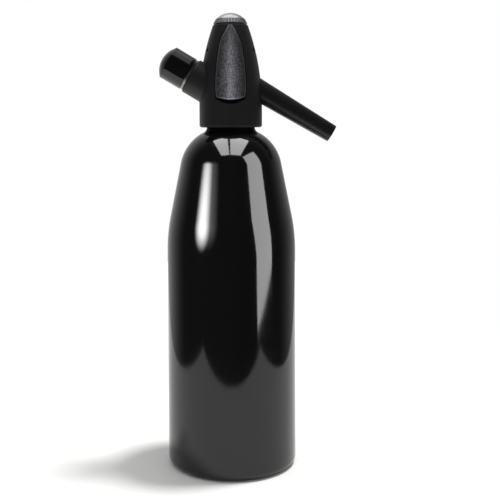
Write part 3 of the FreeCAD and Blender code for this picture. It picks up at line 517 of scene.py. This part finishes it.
# Painted shade: the valleys between the pebbles are given a darker colour than their tops.
painted_valley_shade = add(tree, "ShaderNodeMapRange", {"From Max": 0.6, "To Min": 1.0, "To Max": 0.0},
             Value=pebble.outputs["Distance"])
pebble_tone_with_shade = add(tree, "ShaderNodeMix", {"data_type": "RGBA"}, Factor=painted_valley_shade.outputs["Result"])
pebble_tone_with_shade.inputs[6].default_value = linear("#3c3c3f")
pebble_tone_with_shade.inputs[7].default_value = linear("#77777b")
# Painted highlight: the base colour is lighter along the leaf's rim.
rim = add(tree, "ShaderNodeAttribute", {"attribute_name": "rim"})
rim_painted_highlight = add(tree, "ShaderNodeMix", {"data_type": "RGBA"}, Factor=rim.outputs["Fac"])
rim_painted_highlight.inputs[6].default_value = linear("#88888b")
tree.links.new(pebble_tone_with_shade.outputs[2], rim_painted_highlight.inputs[7])
tree.links.new(rim_painted_highlight.outputs[2], shader.inputs["Base Color"])

leaf = object_of("lever_leaf", leaf_mesh, hammered)
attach(leaf, "lever")
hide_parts("lever_face")


# Crown nut
# A turned and nickel-plated cap nut with a coin-edge knurl and a polished dome. It screws on the
# stud of the core and holds the head together.

CROWN_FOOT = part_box("crown_nut")[0].z / MM
CROWN_RADIUS, CROWN_RIM, KNURL_HEIGHT = 11.7, 0.5, 3.3
KNURL_TOP, DOME_HEIGHT, KNURLS, GROOVE = 10.25, 4.6, 32, 0.55
CROWN_BORE = 3.55
knurl_end = CROWN_FOOT + KNURL_HEIGHT
crown_arc = (KNURL_TOP ** 2 + DOME_HEIGHT ** 2) / (2 * DOME_HEIGHT)
crown_turn = math.degrees(math.asin(KNURL_TOP / crown_arc))


def coin_edge(radius, height, angle):
    """Round-bottomed flutes that run out at the foot of the dome."""
    if radius < KNURL_TOP - 0.6 or height > knurl_end + 0.3:
        return radius
    flute = (0.5 + 0.5 * math.cos(KNURLS * angle)) ** 1.6
    fade = min(1.0, max(0.0, (radius - KNURL_TOP + 0.6) / 0.6))
    return radius - GROOVE * flute * fade


crown_outline = (
    [(CROWN_BORE, CROWN_FOOT), (9.0, CROWN_FOOT), (CROWN_RADIUS - 0.2, CROWN_FOOT),
     (CROWN_RADIUS, CROWN_FOOT + 0.2), (CROWN_RADIUS, CROWN_FOOT + CROWN_RIM)]
    + run((CROWN_RADIUS, CROWN_FOOT + CROWN_RIM), (KNURL_TOP, knurl_end), 10)
    + bend(0, knurl_end + DOME_HEIGHT - crown_arc, crown_arc, 90 - crown_turn, 90, 24)[1:]
    + [(0, CROWN_FOOT + 5.0), (CROWN_BORE, CROWN_FOOT + 5.0), (CROWN_BORE, CROWN_FOOT)])
plated, tree, shader = new_material(
    "polished_nickel", Base_Color=linear("#d2d2d4"), Metallic=1.0, Roughness=0.2)
place = add(tree, "ShaderNodeNewGeometry")
wear = add(tree, "ShaderNodeTexNoise", {"Scale": 420.0, "Detail": 6.0}, Vector=place.outputs["Position"])
wear_range = add(tree, "ShaderNodeMapRange", {"To Min": 0.14, "To Max": 0.3},
                 Value=wear.outputs["Fac"])
tree.links.new(wear_range.outputs["Result"], shader.inputs["Roughness"])
crown = object_of("crown", lathe("crown", crown_outline, steps=384, wave=coin_edge), plated)
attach(crown, "crown")
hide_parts("crown_nut")


# Spout
# A tapered tube moulded in black ABS with a satin finish, square-cut at its end with a small bevel
# inside. Its shank screws through the head into the core.

SPOUT_TIP, SPOUT_END, SPOUT_BORE, TIP_BEVEL = 6.1, 81.0, 4.0, 0.6
SHANK_START, SHANK_RADIUS, TIP_EDGE, ROOT_EDGE = 11.0, 6.0, 0.35, 0.2
spout_outline = (
    [(SPOUT_BORE, SHANK_START), (SHANK_RADIUS, SHANK_START), (SHANK_RADIUS, SPOUT_SHOULDER),
     (SPOUT_ROOT - ROOT_EDGE, SPOUT_SHOULDER), (SPOUT_ROOT, SPOUT_SHOULDER + ROOT_EDGE)]
    + run((SPOUT_ROOT, SPOUT_SHOULDER + ROOT_EDGE), (SPOUT_TIP, SPOUT_END - TIP_EDGE), 20)
    + bend(SPOUT_TIP - TIP_EDGE, SPOUT_END - TIP_EDGE, TIP_EDGE, 0, 90, 4)[1:]
    + [(SPOUT_BORE + TIP_BEVEL, SPOUT_END), (SPOUT_BORE, SPOUT_END - TIP_BEVEL)]
    + run((SPOUT_BORE, SPOUT_END - TIP_BEVEL), (SPOUT_BORE, SHANK_START), 6))
satin_abs, tree, shader = new_material(
    "satin_black_abs", Base_Color=linear("#111113"), Roughness=0.36, IOR=1.53)
place = add(tree, "ShaderNodeNewGeometry")
fine = add(tree, "ShaderNodeTexNoise", {"Scale": 2600.0, "Detail": 2.0}, Vector=place.outputs["Position"])
fine_bump = add(tree, "ShaderNodeBump", {"Strength": 0.05, "Distance": 0.0001},
                Height=fine.outputs["Fac"])
tree.links.new(fine_bump.outputs["Normal"], shader.inputs["Normal"])
cloud = add(tree, "ShaderNodeTexNoise", {"Scale": 90.0, "Detail": 4.0}, Vector=place.outputs["Position"])
cloud_range = add(tree, "ShaderNodeMapRange", {"To Min": 0.34, "To Max": 0.4},
                  Value=cloud.outputs["Fac"])
tree.links.new(cloud_range.outputs["Result"], shader.inputs["Roughness"])
spout_mesh = lathe("spout_tube", spout_outline, steps=128)
spout_mesh.transform(spout_line)
spout = object_of("spout_tube", spout_mesh, satin_abs)
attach(spout, "head")
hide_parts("spout")


# Inlet cap
# A screw cap moulded in high-gloss black ABS with a crisp edge and a shallow dome. It keeps dirt
# out of the gas inlet.

CAP_FOOT, CAP_LENGTH, CAP_DOME, CAP_RADIUS, CAP_EDGE = 33.9, 16.1, 4.5, 11.7, 0.4
CAP_BORE, CAP_ROOF = 9.6, 48.14
cap_top = CAP_RADIUS - CAP_EDGE
cap_arc = (cap_top ** 2 + CAP_DOME ** 2) / (2 * CAP_DOME)
cap_turn = math.degrees(math.asin(cap_top / cap_arc))
cap_end = CAP_FOOT + CAP_LENGTH
cap_outline = (
    [(CAP_BORE, CAP_FOOT)]
    + bend(CAP_RADIUS - CAP_EDGE, CAP_FOOT + CAP_EDGE, CAP_EDGE, -90, 0, 5)
    + run((CAP_RADIUS, CAP_FOOT + CAP_EDGE), (CAP_RADIUS, cap_end - CAP_EDGE), 8)
    + bend(CAP_RADIUS - CAP_EDGE, cap_end - CAP_EDGE, CAP_EDGE, 0, 50, 5)[1:]
    + bend(0, cap_end + CAP_DOME - cap_arc, cap_arc, 90 - cap_turn + 1.5, 90, 24)
    + [(0, CAP_ROOF), (CAP_BORE, CAP_ROOF), (CAP_BORE, CAP_FOOT)])
gloss_abs, tree, shader = new_material(
    "gloss_black_abs", Base_Color=linear("#08080a"), Roughness=0.1, IOR=1.54)
place = add(tree, "ShaderNodeNewGeometry")
swirl = add(tree, "ShaderNodeTexNoise", {"Scale": 160.0, "Detail": 7.0, "Roughness": 0.7},
            Vector=place.outputs["Position"])
swirl_range = add(tree, "ShaderNodeMapRange", {"To Min": 0.06, "To Max": 0.15},
                  Value=swirl.outputs["Fac"])
tree.links.new(swirl_range.outputs["Result"], shader.inputs["Roughness"])
cap_mesh = lathe("screw_cap", cap_outline, steps=160)
cap_mesh.transform(inlet_line)
cap = object_of("screw_cap", cap_mesh, gloss_abs)
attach(cap, "cap")
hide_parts("inlet_cap")


# Core, valve, riser and seals
# A black nylon core, turned brass, bright steel, a milky tube and black rubber inside the head.
# They show only through gaps or when a piece is unscrewed, so the solids keep their shape.

def dress(material, *nodes):
    """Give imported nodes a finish."""
    for name in nodes:
        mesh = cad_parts[name].data
        mesh.materials.clear()
        mesh.materials.append(material)


def turned_metal(name, colour, roughness, rings_per_mm):
    """Lathe-turned metal: bright, with fine tool rings that blur the reflections sideways."""
    material, tree, shader = new_material(
        name, Base_Color=linear(colour), Metallic=1.0, Roughness=roughness)
    place = add(tree, "ShaderNodeNewGeometry")
    stretch = add(tree, "ShaderNodeMapping", {"Scale": (60, 60, rings_per_mm * 1000)},
                  Vector=place.outputs["Position"])
    rings = add(tree, "ShaderNodeTexNoise", {"Scale": 1.0, "Detail": 2.0},
                Vector=stretch.outputs["Vector"])
    bump = add(tree, "ShaderNodeBump", {"Strength": 0.2, "Distance": 0.0001},
               Height=rings.outputs["Fac"])
    tree.links.new(bump.outputs["Normal"], shader.inputs["Normal"])
    return material


dress(turned_metal("turned_brass", "#c9a760", 0.28, 3), "valve_gland", "valve_plug")
dress(turned_metal("nickel_plated_brass", "#8f8d88", 0.3, 3), "inlet_fitting")
dress(turned_metal("bright_steel", "#c0c2c6", 0.25, 5), "valve_plunger", "valve_spring",
      "crown_washer", "piercing_pin")
dress(turned_metal("blackened_steel", "#1e1e20", 0.4, 5), "lever_pin")

# Sintered bronze: brown grains of about 0.15 mm fused together, dull and porous.
sintered, tree, shader = new_material(
    "sintered_bronze", Base_Color=linear("#8a6a44"), Metallic=1.0, Roughness=0.6)
place = add(tree, "ShaderNodeNewGeometry")
GRANULE = 0.15
beads = add(tree, "ShaderNodeTexVoronoi", {"Scale": 1000 / GRANULE}, Vector=place.outputs["Position"])
bead_bump = add(tree, "ShaderNodeBump", {"Strength": 0.6, "Distance": 0.0001},
                Height=beads.outputs["Distance"])
tree.links.new(bead_bump.outputs["Normal"], shader.inputs["Normal"])
dress(sintered, "inlet_filter")

# Nitrile rubber: black and dull with a slight bloom.
nitrile, tree, shader = new_material(
    "nitrile_rubber", Base_Color=linear("#1a1a1a"), Roughness=0.7)
place = add(tree, "ShaderNodeNewGeometry")
bloom = add(tree, "ShaderNodeTexNoise", {"Scale": 300.0, "Detail": 5.0}, Vector=place.outputs["Position"])
bloom_tone = add(tree, "ShaderNodeMix", {"data_type": "RGBA"}, Factor=bloom.outputs["Fac"])
bloom_tone.inputs[6].default_value = linear("#161616")
bloom_tone.inputs[7].default_value = linear("#242424")
tree.links.new(bloom_tone.outputs[2], shader.inputs["Base Color"])
dress(nitrile, "neck_gasket", "riser_seal", "plunger_seal", "stem_seal", "spout_seal",
      "check_sleeve", "inlet_seal", "cap_seal")

# Polyethylene tube: milky white, slightly see-through, waxy.
tube, tree, shader = new_material(
    "polyethylene_tube", Base_Color=linear("#dfe3e2"), Roughness=0.35, IOR=1.5)
place = add(tree, "ShaderNodeNewGeometry")
haze = add(tree, "ShaderNodeTexNoise", {"Scale": 150.0, "Detail": 3.0}, Vector=place.outputs["Position"])
haze_range = add(tree, "ShaderNodeMapRange", {"To Min": 0.28, "To Max": 0.42},
                 Value=haze.outputs["Fac"])
tree.links.new(haze_range.outputs["Result"], shader.inputs["Roughness"])
dress(tube, "riser_tube")

# Glass-filled nylon: dark grey and dull, with a faint cloud of fibres.
nylon, tree, shader = new_material(
    "glass_filled_nylon", Base_Color=linear("#222225"), Roughness=0.55)
place = add(tree, "ShaderNodeNewGeometry")
fibre = add(tree, "ShaderNodeTexNoise", {"Scale": 700.0, "Detail": 4.0}, Vector=place.outputs["Position"])
fibre_tone = add(tree, "ShaderNodeMix", {"data_type": "RGBA"}, Factor=fibre.outputs["Fac"])
fibre_tone.inputs[6].default_value = linear("#1c1c1f")
fibre_tone.inputs[7].default_value = linear("#2b2b2f")
tree.links.new(fibre_tone.outputs[2], shader.inputs["Base Color"])
dress(nylon, "lever_arm", "valve_block")


# Studio light
# A white surround behind and a dark studio in front. Softboxes that only reflections see draw the
# streaks and the patch on the lacquer, and weaker ones the sheen of the head and the leaf. A soft
# key from above on the right throws the shadow.

world = bpy.data.worlds.new("studio")
bpy.context.scene.world = world
world.use_nodes = True
tree = world.node_tree
seen = tree.nodes["Background"]
seen.inputs["Color"].default_value = (1, 1, 1, 1)
where = add(tree, "ShaderNodeTexCoord")
apart = add(tree, "ShaderNodeSeparateXYZ", Vector=where.outputs["Generated"])
behind = add(tree, "ShaderNodeMapRange", {"interpolation_type": "SMOOTHSTEP", "From Min": 0.0,
                                          "From Max": 0.9, "To Min": 0.05, "To Max": 0.65},
             Value=apart.outputs["Y"])
shaded = add(tree, "ShaderNodeMapRange", {"interpolation_type": "SMOOTHSTEP", "From Min": -0.2,
                                          "From Max": 0.5, "To Min": 1.0, "To Max": 0.6},
             Value=apart.outputs["X"])
depth = add(tree, "ShaderNodeMath", {"operation": "MULTIPLY"})
tree.links.new(behind.outputs["Result"], depth.inputs[0])
tree.links.new(shaded.outputs["Result"], depth.inputs[1])
mirrored = add(tree, "ShaderNodeBackground", {"Color": (1, 1, 1, 1)}, Strength=depth.outputs["Value"])
soft_fill = add(tree, "ShaderNodeBackground", {"Color": (1, 1, 1, 1), "Strength": 0.62})
ray = add(tree, "ShaderNodeLightPath")
choice = add(tree, "ShaderNodeMixShader")
tree.links.new(ray.outputs["Is Glossy Ray"], choice.inputs[0])
tree.links.new(soft_fill.outputs[0], choice.inputs[1])
tree.links.new(mirrored.outputs[0], choice.inputs[2])
last = add(tree, "ShaderNodeMixShader")
tree.links.new(ray.outputs["Is Camera Ray"], last.inputs[0])
tree.links.new(choice.outputs[0], last.inputs[1])
tree.links.new(seen.outputs[0], last.inputs[2])
tree.links.new(last.outputs[0], tree.nodes["World Output"].inputs["Surface"])

TARGET = Vector((0, 0, 190 * MM))


def softbox(name, azimuth, elevation, distance, width, height, radiance, edge=0.0, roll=0.0):
    """An area light of one radiance, by azimuth from the front and elevation; edge fades it out."""
    a, e = math.radians(azimuth), math.radians(elevation)
    way = Vector((math.sin(a) * math.cos(e), -math.cos(a) * math.cos(e), math.sin(e)))
    data = bpy.data.lights.new(name, "AREA")
    data.shape = "RECTANGLE"
    data.size, data.size_y = width, height
    data.energy = radiance * math.pi * width * height
    if edge:
        data.use_nodes = True
        tree = data.node_tree
        emission = tree.nodes["Emission"]
        spot = add(tree, "ShaderNodeNewGeometry")
        centred = add(tree, "ShaderNodeVectorMath", {"operation": "SUBTRACT"})
        tree.links.new(spot.outputs["Parametric"], centred.inputs[0])
        centred.inputs[1].default_value = (0.5, 0.5, 0.0)
        flat = add(tree, "ShaderNodeVectorMath", {"operation": "MULTIPLY"})
        tree.links.new(centred.outputs[0], flat.inputs[0])
        flat.inputs[1].default_value = (2.0, 2.0, 0.0)
        far = add(tree, "ShaderNodeVectorMath", {"operation": "LENGTH"})
        tree.links.new(flat.outputs[0], far.inputs[0])
        fade = add(tree, "ShaderNodeMapRange", {"interpolation_type": "SMOOTHSTEP",
                                                "From Min": 1.0 - edge, "From Max": 1.0,
                                                "To Min": 1.0, "To Max": 0.0})
        tree.links.new(far.outputs["Value"], fade.inputs["Value"])
        tree.links.new(fade.outputs["Result"], emission.inputs["Strength"])
    light = bpy.data.objects.new(name, data)
    bpy.context.scene.collection.objects.link(light)
    light.location = TARGET + way * distance
    light.rotation_mode = "QUATERNION"
    light.rotation_quaternion = (way.to_track_quat("Z", "Y")
                                 @ Matrix.Rotation(math.radians(roll), 3, "Z").to_quaternion())
    light.visible_camera = False
    return light


bottle_only = [
    softbox("right_softbox", 56, 15, 1.6, 0.94, 1.75, 7.0, roll=10),
    softbox("left_spot", -54, 9, 1.6, 0.95, 0.95, 26.0, edge=0.85),
    softbox("left_glow", -42, 11, 1.6, 1.1, 1.0, 2.2, edge=0.9),
    softbox("overhead_left", 0, 90, 1.0, 0.40, 1.15, 8.5),
    softbox("overhead_right", 0, 90, 1.0, 0.50, 1.15, 8.5),
]
for light, across in zip(bottle_only[3:], (-0.28, 0.23)):
    light.location = TARGET + Vector((across, -0.4, 1.0))
head_only = [softbox("head_overhead", 0, 90, 1.0, 0.9, 1.15, 0.9)]
leaf_only = [
    softbox("leaf_glow", 0, 20, 1.4, 2.4, 1.8, 0.42),
    softbox("leaf_strip", 0, 16, 1.2, 0.14, 1.4, 16.0, edge=0.5),
]


def lights_for(name, lights, *pieces):
    """Let lights draw reflections on these pieces and do nothing else."""
    lit = bpy.data.collections.new(name)
    for piece in pieces:
        lit.objects.link(piece)
    for light in lights:
        light.visible_diffuse = False
        light.light_linking.receiver_collection = lit


lights_for("lit_bottle", bottle_only, bottle)
lights_for("lit_head", head_only, head, crown, spout, cap)
lights_for("lit_leaf", leaf_only, leaf)

# The key is a distant lamp, so that the whole sweep is lit evenly.
key_data = bpy.data.lights.new("key", "SUN")
key_data.energy = 2.4
key_data.angle = math.radians(9)
key = bpy.data.objects.new("key", key_data)
bpy.context.scene.collection.objects.link(key)
key.rotation_mode = "QUATERNION"
key.rotation_quaternion = Vector((0.25, 0.07, 1.0)).to_track_quat("Z", "Y")
key.visible_glossy = False
